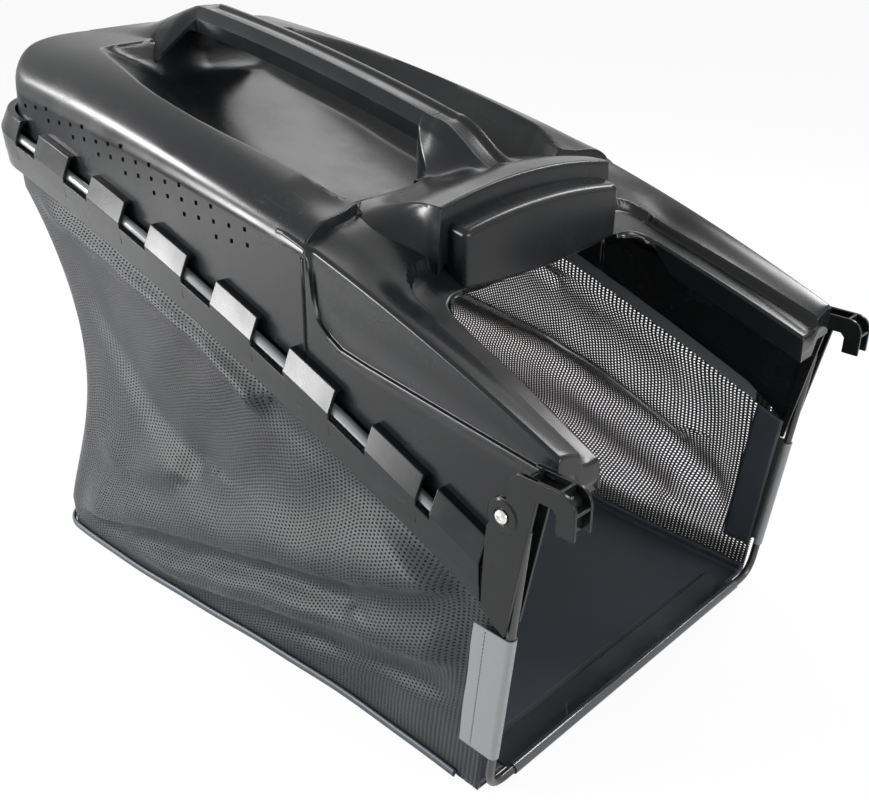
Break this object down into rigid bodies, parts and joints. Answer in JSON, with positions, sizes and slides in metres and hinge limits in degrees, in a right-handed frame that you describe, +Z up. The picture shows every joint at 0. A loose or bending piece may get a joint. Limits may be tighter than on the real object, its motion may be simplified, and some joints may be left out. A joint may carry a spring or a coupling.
{
  "type": "grass catcher",
  "caption": "Grass catcher with a moulded top cover and bow handle, a wire frame with hooks and a sewn mesh bag on a vinyl floor.",
  "frame": {"origin": "on the ground, at the centre of the outer box in plan", "axes": "+Z up, -Y towards the mouth and the hooks, +X to the right seen by someone who looks into the mouth"},
  "size_m": [0.4278, 0.6742, 0.4628],
  "materials": {
    "cover_plastic": "semi-gloss black injection moulding",
    "bracket_plastic": "semi-gloss black moulding",
    "black_wire": "black painted steel wire",
    "strip_plastic": "glossy extruded strip",
    "mesh_fabric": "black woven mesh",
    "grey_vinyl": "dark grey vinyl sheet",
    "zinc": "bright zinc plate"
  },
  "bodies": {
    "root": {"top_cover": "cover_plastic", "mouth_wire": "black_wire", "rim_wire": "black_wire", "mouth_strip_bottom": "strip_plastic", "rim_strip_rear": "strip_plastic", "rear_panel": "mesh_fabric", "floor_panel": "grey_vinyl", "bottom_piping_rear": "grey_vinyl", "rim_strip_left": "strip_plastic", "hook_bracket_left": "bracket_plastic", "bracket_screw_left": "zinc", "bracket_nut_left": "zinc", "mouth_strip_left": "strip_plastic", "side_panel_left": "mesh_fabric", "front_binding_left": "grey_vinyl", "bottom_piping_left": "grey_vinyl", "rim_strip_right": "strip_plastic", "hook_bracket_right": "bracket_plastic", "bracket_screw_right": "zinc", "bracket_nut_right": "zinc", "mouth_strip_right": "strip_plastic", "side_panel_right": "mesh_fabric", "front_binding_right": "grey_vinyl", "bottom_piping_right": "grey_vinyl"}
  },
  "joints": []
}
